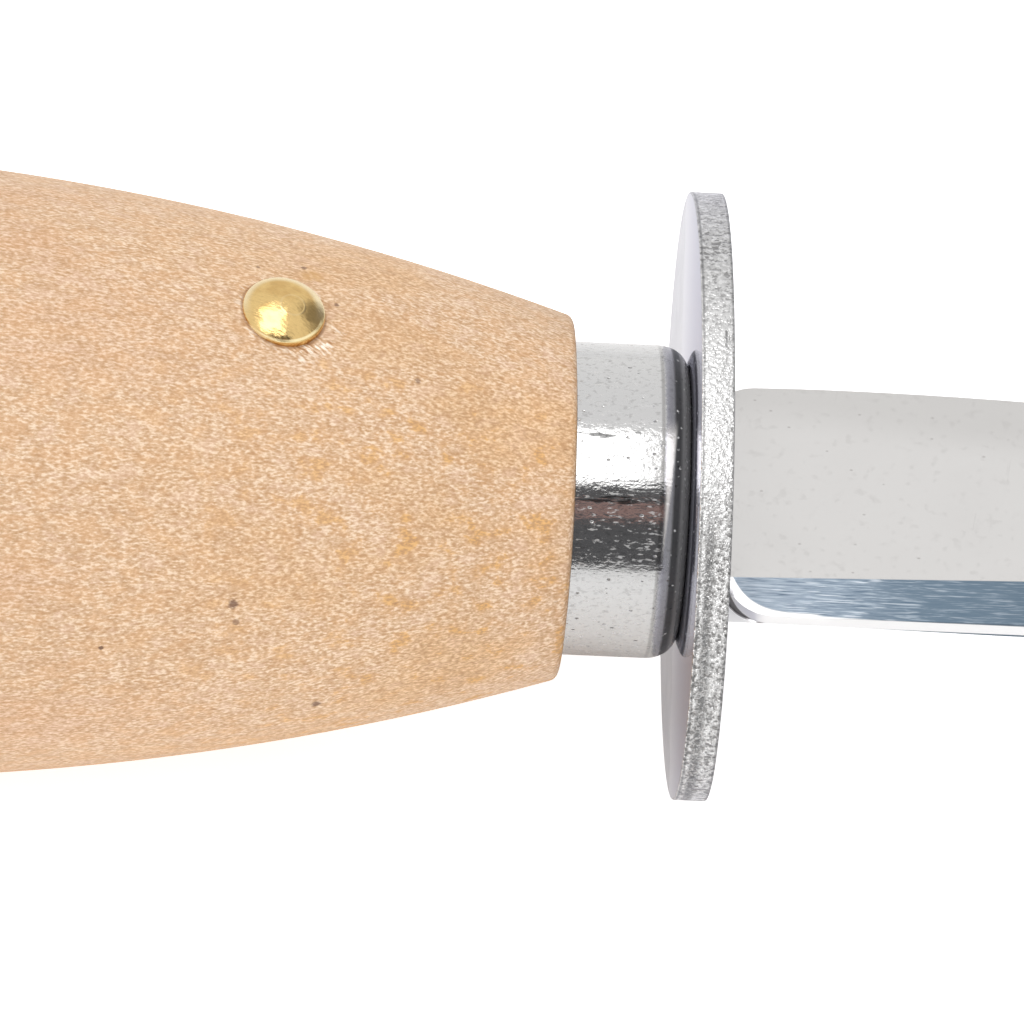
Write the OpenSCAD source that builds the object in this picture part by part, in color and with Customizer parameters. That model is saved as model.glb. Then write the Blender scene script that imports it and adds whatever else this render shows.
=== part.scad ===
// Oyster knife: a turned beech handle on a flat tang, with a drawn steel ferrule,
// an oval hand guard, a stout pointed blade and one brass rivet.
// The knife points along +X, the flats of the blade face up and down,
// and the cutting edge faces -Y. The origin lies under the middle of the knife,
// at the level of the handle's lowest point.

/* [Handle] */
// Length of the handle
handle_len = 92; // [84:0.5:104]
// Diameter of the handle where it is widest
handle_d = 39.3; // [36:0.1:44]
// How far the widest place lies behind the front face
handle_belly = 52.7; // [44:0.1:58]
// Diameter of the front face
handle_front_d = 23; // [21.5:0.1:27]
// Rounding of the front face's edge
front_round = 0.6; // [0.3:0.1:1.2]
// Diameter of the flat at the butt
butt_flat_d = 7; // [4:0.5:12]
// Rounding from the butt's flat into the handle's flank
butt_round = 9; // [6:0.5:12]

/* [Ferrule] */
// Outer diameter of the ferrule
ferrule_d = 19.6; // [18:0.1:21]
// Length of the ferrule, from the handle's front face to the guard
ferrule_len = 7.3; // [5:0.1:12]
// Thickness of the ferrule's sheet
ferrule_wall = 1; // [0.6:0.1:1.4]
// Outer rounding of the ferrule's closed end
ferrule_round = 1.5; // [0.5:0.1:2.5]

/* [Guard] */
// Size of the guard across the blade's width
guard_w = 41.4; // [36:0.1:46]
// Size of the guard across the blade's flats
guard_h = 32.4; // [28:0.1:36]
// Thickness of the guard's sheet
guard_t = 2.05; // [1.5:0.05:3]
// How far the guard sits off the handle's axis, toward the spine
guard_offset = 0.7; // [0:0.1:1.2]

/* [Blade] */
// Length of the blade in front of the guard
blade_len = 60; // [50:0.5:75]
// Width of the blade where it is widest
blade_w = 17.5; // [15:0.1:20]
// How much narrower the blade is at the guard
heel_draw = 0.2; // [0.1:0.1:3.5]
// Rounding of the two corners at the guard
heel_round = 2.6; // [0.5:0.1:2.8]
// How far the widest place lies in front of the guard
blade_crown = 8; // [6:0.5:14]
// Thickness of the blade
blade_t = 3; // [2.4:0.1:3.6]
// How far the blade sits off the handle's axis, toward the edge
blade_offset = 0.3; // [0:0.1:1]
// How far in front of the guard the cutting edge starts to curve up
edge_straight = 29; // [20:0.5:36]
// How far the point lies above the blade's middle, toward the spine
point_rise = 2; // [0:0.1:4]
// Rounding of the point
point_round = 1.8; // [0.8:0.1:3]
// Width of the ground bevel along the cutting edge
bevel_w = 2.5; // [1.5:0.05:4]
// Thickness of the blunt cutting edge
edge_t = 1.1; // [0.6:0.05:1.8]

/* [Tang] */
// Width of the tang at the guard
tang_w = 10; // [8:0.1:12]
// How far each flat of the tang lies below the blade's flat
tang_relief = 0.1; // [0.05:0.05:0.4]
// Width of the tang near its end
tang_end_w = 6; // [5:0.1:8]
// How far the tang reaches into the handle, from its front face
tang_depth = 56; // [40:0.5:70]
// Length and width of the chamfers at the tang's end
tang_chamfer = 2; // [0.5:0.1:2.4]

/* [Rivet] */
// Diameter of the rivet's shank
rivet_d = 3; // [2.4:0.1:4]
// How far the rivet lies behind the handle's front face
rivet_back = 18.5; // [12:0.5:30]
// How far the rivet lies off the handle's axis, toward the spine
rivet_offset = 0.5; // [0:0.1:1]
// Diameter of the rivet's domed head
rivet_head_d = 5.2; // [4.8:0.1:6.5]
// Height of the upright rim around the dome
rivet_rim = 0.45; // [0.3:0.05:0.8]
// Height of the dome above its rim
rivet_dome = 0.75; // [0.4:0.05:1.2]
// Outer diameter of the burr, the washer under the closed end
burr_d = 7; // [6.6:0.1:9]
// Thickness of the burr
burr_t = 0.8; // [0.5:0.1:1.2]
// How deep the rivet's head and the burr are let into the wood
seat_depth = 0.2; // [0.1:0.05:0.8]

/* [Fits] */
// Gap all round the tang, the rivet's shank, its seats and the handle's spigot
fit_gap = 0.1; // [0.05:0.01:0.2]

/* [Hidden] */
$fn = 180;
corner_steps = 6;
flank_steps = 20;
cut = 1;

guard_x = ferrule_len;
blade_x = guard_x + guard_t;
shift_x = (handle_len - blade_x - blade_len) / 2;
spigot_d = ferrule_d - 2 * (ferrule_wall + fit_gap);
spigot_len = ferrule_len - ferrule_wall - fit_gap;
handle_front_flat = handle_front_d / 2 - front_round;
rivet_seat = handle_r(rivet_back) - seat_depth;
rivet_lean = handle_lean(rivet_back);
edge_reach = blade_len - edge_straight;
edge_half = blade_w / 2 + point_rise;
edge_arc = flank_r(edge_reach, edge_half, 0, point_round);
tang_t = blade_t - 2 * tang_relief;

// Points along an arc, without its first point unless `first` is 0
function arc(centre, r, from, to, steps, first = 1) =
    [for (i = [first:steps])
        let (a = from + (to - from) * i / steps)
        centre + r * [cos(a), sin(a)]];

// Radius of the flank that runs from a crown, where it is level, to an end's rounded corner.
// The crown is `reach` from the end and `half` high, and the end's flat is `flat` high.
function flank_r(reach, half, flat, corner) =
    let (a = reach - corner, b = half - flat)
    (a * a + b * b - corner * corner) / (2 * (b - corner));

// Half of a bulging outline: from an end's flat at [0, flat], round its corner
// and along its flank to the crown at [reach, half]
function bulge(reach, half, flat, corner) =
    let (
        r = flank_r(reach, half, flat, corner),
        meet = 90 + asin((reach - corner) / (r - corner))
    )
    concat(
        arc([corner, flat], corner, 180, meet, corner_steps, 0),
        arc([reach, half - r], r, meet, 90, flank_steps)
    );

// Radius of the handle's flank, as seen from the side, ahead of its widest place
function front_flank_r() = flank_r(handle_belly, handle_d / 2, handle_front_flat, front_round);

// Radius of the handle at a distance behind its front face, ahead of its widest place
function handle_r(back) =
    let (r = front_flank_r())
    handle_d / 2 - r + sqrt(r * r - pow(handle_belly - back, 2));

// Angle between the handle's flank and its axis at the same distance
function handle_lean(back) = asin((handle_belly - back) / front_flank_r());

// Places what is drawn along the knife's own axis, with x = 0 at the handle's front face
module on_axis() {
    translate([shift_x, -guard_offset, handle_d / 2])
        children();
}

// Turns a round piece's axis from +Z to the knife's +X
module along_knife() {
    on_axis()
        rotate([0, 90, 0])
            children();
}

// The turned shape stands on its axis, with its front face at z = 0 and its butt below
module handle_body() {
    butt_reach = handle_len - handle_belly;
    front = bulge(handle_belly, handle_d / 2, handle_front_flat, front_round);
    butt = bulge(butt_reach, handle_d / 2, butt_flat_d / 2, butt_round);
    rotate_extrude()
        polygon(concat(
            [[0, 0]],
            [for (p = front) [p.y, -p.x]],
            [for (i = [len(butt) - 2:-1:0]) [butt[i].y, butt[i].x - handle_len]],
            [[0, -handle_len]]
        ));
    cylinder(d = spigot_d, h = spigot_len);
}

// Outline of the tang in plan, grown by a gap for the slots that it fits
module tang_plan(gap = 0) {
    half = tang_w / 2 + gap;
    end_half = tang_end_w / 2 + gap;
    end_x = -tang_depth - gap;
    polygon([
        [blade_x, -half],
        [blade_x, half],
        [0, half],
        [end_x + tang_chamfer, end_half],
        [end_x, end_half - tang_chamfer],
        [end_x, tang_chamfer - end_half],
        [end_x + tang_chamfer, -end_half],
        [0, -half]
    ]);
}

module tang(gap = 0) {
    translate([0, -blade_offset, -tang_t / 2 - gap])
        linear_extrude(height = tang_t + 2 * gap)
            tang_plan(gap);
}

// Places what stands on the rivet's own axis
module at_rivet() {
    on_axis()
        translate([-rivet_back, rivet_offset, 0])
            children();
}

// Lays what stands on z = 0 onto the sloping seat of the rivet's head
module on_seat() {
    translate([0, 0, rivet_seat])
        rotate([0, rivet_lean, 0])
            children();
}

module rivet_hole(reach) {
    at_rivet()
        translate([0, 0, -reach])
            cylinder(d = rivet_d + 2 * fit_gap, h = 2 * reach);
}

module handle() {
    color("burlywood")
        difference() {
            along_knife()
                handle_body();
            on_axis()
                tang(fit_gap);
            rivet_hole(handle_d);
            at_rivet() {
                on_seat()
                    cylinder(d = rivet_head_d + 2 * fit_gap, h = handle_d);
                mirror([0, 0, 1])
                    on_seat()
                        cylinder(d = burr_d + 2 * fit_gap, h = handle_d);
            }
        }
}

module ferrule_profile() {
    difference() {
        square([ferrule_d / 2, ferrule_len]);
        translate([-cut, -cut])
            square([ferrule_d / 2 - ferrule_wall + cut, ferrule_len - ferrule_wall + cut]);
        translate([ferrule_d / 2 - ferrule_round, ferrule_len - ferrule_round])
            difference() {
                square(ferrule_round + cut);
                circle(r = ferrule_round);
            }
    }
}

module ferrule() {
    color("silver")
        difference() {
            along_knife()
                rotate_extrude()
                    ferrule_profile();
            on_axis()
                tang(fit_gap);
        }
}

module guard() {
    color("gainsboro")
        difference() {
            on_axis()
                translate([guard_x, guard_offset, 0])
                    rotate([90, 0, 90])
                        linear_extrude(height = guard_t)
                            scale([1, guard_h / guard_w])
                                circle(d = guard_w);
            on_axis()
                tang(fit_gap);
        }
}

// Plan of the blade, with its heel at x = 0 and its middle line on y = 0
module blade_plan() {
    heel_flat = (blade_w - heel_draw) / 2 - heel_round;
    heel = bulge(blade_crown, blade_w / 2, heel_flat, heel_round);
    spine = bulge(blade_len - blade_crown, blade_w / 2 - point_rise, 0, point_round);
    edge = bulge(edge_reach, edge_half, 0, point_round);
    polygon(concat(
        heel,
        [for (i = [len(spine) - 2:-1:0]) [blade_len - spine[i].x, point_rise + spine[i].y]],
        [for (i = [1:len(edge) - 1]) [blade_len - edge[i].x, point_rise - edge[i].y]],
        [for (i = [len(heel) - 1:-1:0]) [heel[i].x, -heel[i].y]]
    ));
}

// Section of what the bevel takes off the blade's upper side.
// x is the distance outside the line where the bevel starts.
module bevel_section() {
    rise = (blade_t - edge_t) / 2;
    over = (bevel_w + cut) / bevel_w;
    polygon([
        [0, 0],
        [bevel_w * over, -rise * over],
        [bevel_w * over, cut],
        [0, cut]
    ]);
}

// The bevel follows the edge: straight from the heel, then round the edge's arc to the point
module bevel() {
    start_y = -blade_w / 2 + bevel_w;
    translate([-cut, start_y, blade_t / 2])
        rotate([90, 0, 90])
            mirror([1, 0])
                linear_extrude(height = edge_straight + cut)
                    bevel_section();
    translate([edge_straight, edge_arc - blade_w / 2, blade_t / 2])
        rotate([0, 0, -90])
            rotate_extrude(angle = 90)
                translate([edge_arc - bevel_w, 0])
                    bevel_section();
}

module blade() {
    color("lightgray")
        difference() {
            on_axis() {
                translate([blade_x, -blade_offset, 0])
                    difference() {
                        translate([0, 0, -blade_t / 2])
                            linear_extrude(height = blade_t)
                                blade_plan();
                        bevel();
                        mirror([0, 0, 1])
                            bevel();
                    }
                tang();
            }
            rivet_hole(blade_t);
        }
}

// A low dome on an upright rim, standing on z = 0
module rivet_head() {
    ball_r = (pow(rivet_head_d / 2, 2) + pow(rivet_dome, 2)) / (2 * rivet_dome);
    cylinder(d = rivet_head_d, h = rivet_rim);
    intersection() {
        translate([0, 0, rivet_rim + rivet_dome - ball_r])
            sphere(r = ball_r);
        translate([0, 0, rivet_rim])
            cylinder(d = rivet_head_d, h = rivet_dome + cut);
    }
}

// The shank runs into both heads by the height of their rims, past their sloping undersides
module rivet() {
    color("goldenrod")
        at_rivet() {
            translate([0, 0, -rivet_seat - burr_t - rivet_rim])
                cylinder(d = rivet_d, h = 2 * (rivet_seat + rivet_rim) + burr_t);
            on_seat()
                rivet_head();
            mirror([0, 0, 1])
                on_seat()
                    translate([0, 0, burr_t])
                        rivet_head();
        }
}

module rivet_burr() {
    color("darkgoldenrod")
        difference() {
            at_rivet()
                mirror([0, 0, 1])
                    on_seat()
                        cylinder(d = burr_d, h = burr_t);
            rivet_hole(handle_d);
        }
}

handle();
ferrule();
guard();
blade();
rivet();
rivet_burr();
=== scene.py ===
from math import asin, cos, degrees, hypot, pi, radians, sin, sqrt

import bmesh
import bpy
from bpy.props import FloatProperty, FloatVectorProperty, PointerProperty
from bpy.types import Operator, Panel, PropertyGroup
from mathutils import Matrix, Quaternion, Vector


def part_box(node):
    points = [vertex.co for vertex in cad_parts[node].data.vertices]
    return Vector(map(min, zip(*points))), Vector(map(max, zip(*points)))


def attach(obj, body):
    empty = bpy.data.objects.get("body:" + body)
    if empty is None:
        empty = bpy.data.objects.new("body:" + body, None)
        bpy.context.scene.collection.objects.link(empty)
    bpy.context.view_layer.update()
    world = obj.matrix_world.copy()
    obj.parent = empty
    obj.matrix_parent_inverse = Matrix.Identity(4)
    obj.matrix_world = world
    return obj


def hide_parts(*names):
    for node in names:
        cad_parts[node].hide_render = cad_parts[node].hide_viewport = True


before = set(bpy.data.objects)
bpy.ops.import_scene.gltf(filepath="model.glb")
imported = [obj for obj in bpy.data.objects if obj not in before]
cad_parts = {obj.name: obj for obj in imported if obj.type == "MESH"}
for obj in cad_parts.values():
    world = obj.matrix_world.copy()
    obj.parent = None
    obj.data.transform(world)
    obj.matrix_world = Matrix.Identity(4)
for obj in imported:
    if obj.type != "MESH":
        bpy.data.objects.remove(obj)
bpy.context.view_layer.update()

bl_info = {
    "name": "Oyster Knife",
    "version": (1, 0, 0),
    "blender": (4, 5, 0),
    "location": "View3D > Sidebar > Oyster Knife",
    "description": "Builds an oyster knife piece by piece, with its finishes and a studio",
    "category": "Add Mesh",
}


def box_size(box, side):
    return getattr(box[1], side) - getattr(box[0], side)


def box_middle(box, side):
    return (getattr(box[0], side) + getattr(box[1], side)) / 2


handle_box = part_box("handle")
ferrule_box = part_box("ferrule")
guard_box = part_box("guard")
blade_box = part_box("blade")
rivet_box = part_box("rivet")

# The knife's own axis runs along X, through the ferrule's middle
axis_y = box_middle(ferrule_box, "y")
axis_z = box_middle(ferrule_box, "z")
axis = (0, axis_y, axis_z)
handle_front = ferrule_box[0].x
guard_back = guard_box[0].x
guard_front = guard_box[1].x

# Plan of the blade. Distances along it are counted from the guard's front.
blade_y = axis_y - 0.0003
blade_crown = 0.008
heel_half = 0.00865
heel_round = 0.0026
edge_straight = 0.029
point_rise = 0.002
point_round = 0.0018

# The edge is rounded where it meets the guard, more on the bevel's side than at the underside's lip
heel_corner = 0.0035
lip_corner = 0.0009
lip_reach = 0.0014

# The mark of the hammer lies off the middle of the rivet's head
hammer_shift = Vector((0.0006, -0.0001, 0))

# The camera, and where the photo shows marks on the handle, in pixels from its top left
camera_aim = Vector((0.0081, -0.0014, 0.01886))
sensor_width = 36
photo_size = 1024
brown_speck = (233, 604)
speck_below = (236, 622)
grey_speck = (316, 704)
left_dot = (101, 648)
right_dot = (418, 381)
upper_dot = (258, 267)
bruise_dot = (304, 268)
rivet_dot = (337, 305)
bruise_middle = (312, 277)

# Sides of the turned pieces
handle_sides = 144
guard_sides = 240
rivet_sides = 72


def length(name, description, default):
    return FloatProperty(
        name=name, description=description, default=default, min=0.0, precision=5, unit="LENGTH"
    )


def colour(name, description, default):
    return FloatVectorProperty(
        name=name,
        description=description,
        default=default,
        min=0.0,
        max=1.0,
        size=3,
        subtype="COLOR",
    )


def amount(name, description, default, top):
    return FloatProperty(name=name, description=description, default=default, min=0.0, max=top)


def angle(name, description, default):
    return FloatProperty(
        name=name, description=description, default=radians(default), unit="ROTATION"
    )


class KnifeSizes(PropertyGroup):
    """Sizes of the knife's pieces."""

    handle_d: length("Handle", "Widest diameter of the handle", box_size(handle_box, "z"))
    handle_belly: length("Belly", "How far the widest place lies behind the front face", 0.0527)
    handle_front_d: length("Front face", "Diameter of the handle's front face", 0.023)
    front_round: length("Front edge", "Rounding of the front face's edge", 0.0006)
    butt_flat_d: length("Butt flat", "Diameter of the flat at the butt", 0.007)
    butt_round: length("Butt rounding", "Rounding from the butt's flat into the flank", 0.009)
    ferrule_d: length("Ferrule", "Outer diameter of the ferrule", box_size(ferrule_box, "z"))
    ferrule_wall: length("Ferrule sheet", "Thickness of the ferrule's sheet", 0.001)
    shoulder_run: length("Shoulder", "Length of the ferrule's rounded shoulder", 0.0019)
    shoulder_drop: length("Shoulder drop", "How far the shoulder drops toward the axis", 0.0015)
    guard_w: length("Guard width", "Size across the blade's width", box_size(guard_box, "y"))
    guard_h: length("Guard height", "Size across the blade's flats", box_size(guard_box, "z"))
    guard_edge: length("Guard edge", "Rounding along the guard's two edges", 0.00009)
    blade_w: length("Blade width", "Width of the blade where it is widest", 0.0175)
    blade_t: length("Blade", "Thickness of the blade", 0.003)
    blade_edge: length("Blade edges", "Rounding along the blade's edges", 0.00005)
    bevel_heel: length("Bevel at the guard", "Width of the bevel at the guard", 0.00205)
    bevel_front: length("Bevel at the front", "Width of the bevel where the edge curves", 0.0031)
    edge_heel: length("Edge at the guard", "Thickness of the blunt edge near the guard", 0.00074)
    edge_front: length("Edge at the front", "Thickness of the blunt edge toward the point", 0.0012)
    rivet_d: length("Rivet head", "Diameter of the rivet's domed heads", 0.0052)
    rivet_rim: length("Rivet rim", "Height of the upright rim around the dome", 0.00045)
    rivet_dome: length("Rivet dome", "Height of the dome above its rim", 0.00075)
    rivet_back: length("Rivet place", "How far the rivet lies behind the front face", 0.0185)
    seat_depth: length("Rivet seat", "How deep the rivet's head is let into the wood", 0.0002)
    burr_d: length("Burr", "Outer diameter of the burr", 0.007)
    burr_t: length("Burr sheet", "Thickness of the burr", 0.0008)


class KnifeColours(PropertyGroup):
    """Colours of the knife's finishes."""

    wood_light: colour("Wood, light", "Cream of the lighter flecks", (0.795, 0.585, 0.40))
    wood_dark: colour("Wood, dark", "Tan of the darkest flecks", (0.50, 0.285, 0.14))
    wood_pink: colour("Wood, pink", "Pinkish cast toward the butt", (0.70, 0.42, 0.28))
    wood_gold: colour("Wood, golden", "Golden cast near the ferrule", (0.75, 0.43, 0.155))
    ferrule: colour("Ferrule", "Polished drawn steel", (0.66, 0.655, 0.645))
    guard: colour("Guard face", "Mirror-polished steel of the guard", (0.49, 0.495, 0.54))
    rim: colour("Guard rim", "Rough sheared steel of the rim", (0.80, 0.795, 0.785))
    blade: colour("Blade flat", "Satin steel of the flats", (0.745, 0.73, 0.71))
    bevel: colour("Blade bevel", "Ground steel of the bevels at the guard", (0.36, 0.42, 0.49))
    # Painted reflection: the bevel's darker colour toward the point
    bevel_front: colour("Bevel, front", "Ground steel toward the point", (0.12, 0.165, 0.21))
    brass: colour("Brass", "Polished brass of the rivet", (0.80, 0.56, 0.235))
    burr: colour("Burr", "Satin brass of the burr", (0.66, 0.45, 0.18))


class KnifeStudio(PropertyGroup):
    """The camera and the light."""

    lens: FloatProperty(name="Lens", description="Focal length", default=421.9, unit="CAMERA")
    distance: length("Distance", "From the camera to where it aims", 0.75)
    azimuth: angle("Azimuth", "Turn of the camera round the knife", -4.89)
    elevation: angle("Elevation", "Angle of the camera above the horizon", 50.82)
    roll: angle("Roll", "Tilt of the camera to its left", 6.33)
    softbox: amount("Softbox", "Power of the softbox in watts", 0.36, 100.0)
    surround: amount("Surround", "Brightness of the white tent around the knife", 1.0, 10.0)
    shade: colour("Dark side", "Colour of the tent's opening", (0.105, 0.105, 0.11))
    floor: colour("Floor", "Colour of the floor", (0.93, 0.93, 0.93))


def arc(centre, radius, start, end, steps):
    """Points along an arc in degrees, both ends included."""
    turns = [radians(start + (end - start) * i / steps) for i in range(steps + 1)]
    return [(centre[0] + radius * cos(t), centre[1] + radius * sin(t)) for t in turns]


def flank_radius(reach, half, flat, corner):
    """Radius of the flank that runs from a crown to an end's rounded corner."""
    a, b = reach - corner, half - flat
    return (a * a + b * b - corner * corner) / (2 * (b - corner))


def bulge(reach, half, flat, corner, corner_steps, flank_steps):
    """Half an outline: from an end's flat round its corner and along its flank to the crown."""
    radius = flank_radius(reach, half, flat, corner)
    meet = 90 + degrees(asin((reach - corner) / (radius - corner)))
    return (
        arc((corner, flat), corner, 180, meet, corner_steps)
        + arc((reach, half - radius), radius, meet, 90, flank_steps)[1:]
    )


def rise(points, x):
    """Height of an outline at x, between its points."""
    for (x0, y0), (x1, y1) in zip(points, points[1:]):
        if x0 <= x <= x1:
            return y0 if x1 == x0 else y0 + (y1 - y0) * (x - x0) / (x1 - x0)
    return points[-1][1] if x > points[-1][0] else points[0][1]


def handle_flank(sizes, back):
    """The handle's radius and the slope of its flank, at a distance behind its front face."""
    half = sizes.handle_d / 2
    flat = sizes.handle_front_d / 2 - sizes.front_round
    flank = flank_radius(sizes.handle_belly, half, flat, sizes.front_round)
    reach = sizes.handle_belly - back
    return half - flank + sqrt(flank * flank - reach * reach), asin(reach / flank)


def rivet_seat(sizes):
    """Where the rivet's axis meets the seat of its upper head, and how far that seat slopes."""
    radius, slope = handle_flank(sizes, sizes.rivet_back)
    height = axis_z + radius - sizes.seat_depth
    seat = Vector((handle_front - sizes.rivet_back, box_middle(rivet_box, "y"), height))
    return seat, slope


def camera_view(studio):
    """Where the camera stands, and how it is turned."""
    a, e = studio.azimuth, studio.elevation
    back = Vector((sin(a) * cos(e), -cos(a) * cos(e), sin(e)))
    level = (-back).to_track_quat("-Z", "Y")
    return camera_aim + back * studio.distance, level @ Quaternion((0, 0, 1), studio.roll)


def seen_on_handle(sizes, studio, pixel):
    """The place on the handle that the camera sees at a pixel of the photo."""
    eye, turned = camera_view(studio)
    focal, centre = studio.lens / sensor_width * photo_size, photo_size / 2
    ray = turned @ Vector((pixel[0] - centre, centre - pixel[1], -focal)).normalized()
    outside, inside = studio.distance - sizes.handle_d, studio.distance
    for _ in range(40):
        reach = (outside + inside) / 2
        place = eye + ray * reach
        radius = handle_flank(sizes, handle_front - place.x)[0]
        if hypot(place.y - axis_y, place.z - axis_z) > radius:
            outside = reach
        else:
            inside = reach
    return eye + ray * inside


def edit(piece, test):
    """Selects what a test on each vertex's place picks, in edit mode."""
    shape = bmesh.from_edit_mesh(piece.data)
    for face in shape.faces:
        face.select = False
    for line in shape.edges:
        line.select = False
    for vertex in shape.verts:
        vertex.select = bool(test(vertex.co))
    shape.select_flush(True)
    bmesh.update_edit_mesh(piece.data, loop_triangles=False, destructive=False)


def start_disc(name, count, radius, centre, along):
    """Adds a filled circle square to X or Z, as the start of a turned piece."""
    bpy.ops.object.select_all(action="DESELECT")
    bpy.ops.mesh.primitive_circle_add(
        vertices=count,
        radius=radius,
        fill_type="NGON",
        location=centre,
        rotation=(0, pi / 2, 0) if along == "X" else (0, 0, 0),
    )
    piece = bpy.context.object
    piece.name = piece.data.name = name
    bpy.ops.object.transform_apply(location=True, rotation=True, scale=True)
    bpy.ops.object.mode_set(mode="EDIT")
    bpy.ops.mesh.select_mode(type="FACE")
    bpy.ops.mesh.select_all(action="SELECT")
    return piece


def pull(step):
    """Extrudes what is selected by a step."""
    bpy.ops.mesh.extrude_region_move(TRANSFORM_OT_translate={"value": step})


def turn(name, profile, count, middle, along="X"):
    """Turns a profile of (place along the axis, radius) points, as on a lathe."""
    point = Vector(middle)
    place, radius = profile[0]

    def at(x):
        return Vector((x, point.y, point.z)) if along == "X" else Vector((point.x, point.y, x))

    piece = start_disc(name, count, radius, at(place), along)
    for next_place, next_radius in profile[1:]:
        pull(at(next_place) - at(place))
        k = next_radius / radius
        bpy.ops.transform.resize(
            value=(1, k, k) if along == "X" else (k, k, 1), center_override=at(next_place)
        )
        place, radius = next_place, next_radius
    close(piece)
    return piece


def close(piece):
    """Points the faces outwards and leaves edit mode."""
    bpy.ops.mesh.select_all(action="SELECT")
    bpy.ops.mesh.remove_doubles(threshold=1e-7)
    bpy.ops.mesh.normals_make_consistent(inside=False)
    bpy.ops.object.mode_set(mode="OBJECT")
    bpy.ops.object.select_all(action="DESELECT")
    piece.select_set(True)
    bpy.context.view_layer.objects.active = piece


def ease(piece, width, limit, segments=3):
    """Rounds the edges that are sharper than a limit in degrees, with an applied Bevel."""
    bevel = piece.modifiers.new("edges", "BEVEL")
    bevel.width = width
    bevel.segments = segments
    bevel.limit_method = "ANGLE"
    bevel.angle_limit = radians(limit)
    bevel.use_clamp_overlap = True
    bpy.context.view_layer.objects.active = piece
    bpy.ops.object.modifier_apply(modifier=bevel.name)


def hand_over(piece, node, finish, smooth=35):
    """Shades the piece, gives it its finish and lets it stand for its CAD node."""
    bpy.ops.object.select_all(action="DESELECT")
    piece.select_set(True)
    bpy.context.view_layer.objects.active = piece
    bpy.ops.object.shade_smooth_by_angle(angle=radians(smooth))
    piece.data.materials.append(finish)
    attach(piece, "root")
    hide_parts(node)


class Value:
    """A node's output. Arithmetic on it adds Math nodes."""

    def __init__(self, finish, socket):
        self.finish = finish
        self.socket = socket

    def math(self, operation, *others):
        return self.finish.node("ShaderNodeMath", {"operation": operation}, [self, *others])

    def __add__(self, other):
        return self.math("ADD", other)

    def __radd__(self, other):
        return self.math("ADD", other)

    def __sub__(self, other):
        return self.math("SUBTRACT", other)

    def __rsub__(self, other):
        return self.finish.node("ShaderNodeMath", {"operation": "SUBTRACT"}, [other, self])

    def __mul__(self, other):
        return self.math("MULTIPLY", other)

    def __rmul__(self, other):
        return self.math("MULTIPLY", other)

    def __truediv__(self, other):
        return self.math("DIVIDE", other)

    def most(self, other):
        return self.math("MAXIMUM", other)

    def above(self, low, high):
        """0 below low, 1 above high, smooth between them, and turned round if high is lower."""
        settings = {"interpolation_type": "SMOOTHSTEP"}
        return self.finish.node(
            "ShaderNodeMapRange", settings, {0: self, 1: low, 2: high, 3: 0.0, 4: 1.0}
        )


class Finish:
    """A material, or the world, and the nodes that make it."""

    def __init__(self, name, owner=None):
        self.owner = owner or bpy.data.materials.new(name)
        self.owner.use_nodes = True
        self.tree = self.owner.node_tree
        self.tree.nodes.clear()

    def node(self, kind, settings=None, sockets=(), output=0):
        """Adds a node: first its settings, then the values or links of its sockets."""
        made = self.tree.nodes.new(kind)
        for name, value in (settings or {}).items():
            setattr(made, name, value)
        pairs = sockets.items() if isinstance(sockets, dict) else enumerate(sockets)
        for key, value in pairs:
            if isinstance(value, Value):
                self.tree.links.new(value.socket, made.inputs[key])
            else:
                made.inputs[key].default_value = value
        return Value(self, made.outputs[output]) if len(made.outputs) else None

    def place(self):
        return self.node("ShaderNodeTexCoord", output="Object")

    def axes(self, vector):
        split = self.node("ShaderNodeSeparateXYZ", None, [vector])
        return [Value(self, output) for output in split.socket.node.outputs]

    def stretch(self, place, scale, turn, shift):
        """The place, turned and shifted, then scaled along each axis."""
        moved = self.node(
            "ShaderNodeMapping",
            {"vector_type": "POINT"},
            {0: place, 1: shift, 2: turn, 3: (1, 1, 1)},
        )
        return self.node("ShaderNodeVectorMath", {"operation": "MULTIPLY"}, [moved, scale])

    def noise(
        self, place, scale, detail=2.0, rough=0.5, bend=0.0, turn=(0, 0, 0), shift=(0, 0, 0)
    ):
        """Soft noise from 0 to 1, with so many lumps to the metre along each axis."""
        return self.node(
            "ShaderNodeTexNoise",
            {"noise_dimensions": "3D"},
            {
                "Vector": self.stretch(place, scale, turn, shift),
                "Scale": 1.0,
                "Detail": detail,
                "Roughness": rough,
                "Distortion": bend,
            },
            "Fac",
        )

    def dots(self, place, scale, far, near, shift=(0, 0, 0)):
        """Scattered dots: 0 farther than far from a dot's middle, 1 nearer than near."""
        cells = self.node(
            "ShaderNodeTexVoronoi",
            {"feature": "F1"},
            {"Vector": self.stretch(place, scale, (0, 0, 0), shift), "Scale": 1.0},
            "Distance",
        )
        return cells.above(far, near)

    def distance(self, place, point):
        return self.node(
            "ShaderNodeVectorMath", {"operation": "DISTANCE"}, [place, point], "Value"
        )

    def mix(self, share, first, second, blend="MIX"):
        """Mixes two colours."""

        def ink(value):
            return value if isinstance(value, Value) else (*value[:3], 1.0)

        return self.node(
            "ShaderNodeMix",
            {"data_type": "RGBA", "blend_type": blend, "clamp_factor": True},
            {0: share, 6: ink(first), 7: ink(second)},
            2,
        )

    def bump(self, height, strength, depth):
        return self.node(
            "ShaderNodeBump", None, {"Height": height, "Strength": strength, "Distance": depth}
        )

    def done(self, **sockets):
        """Ends the material in a Principled shader with these sockets."""
        named = {key.replace("_", " "): value for key, value in sockets.items()}
        shader = self.node("ShaderNodeBsdfPrincipled", None, named)
        self.node("ShaderNodeOutputMaterial", None, {"Surface": shader})
        return self.owner


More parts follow.
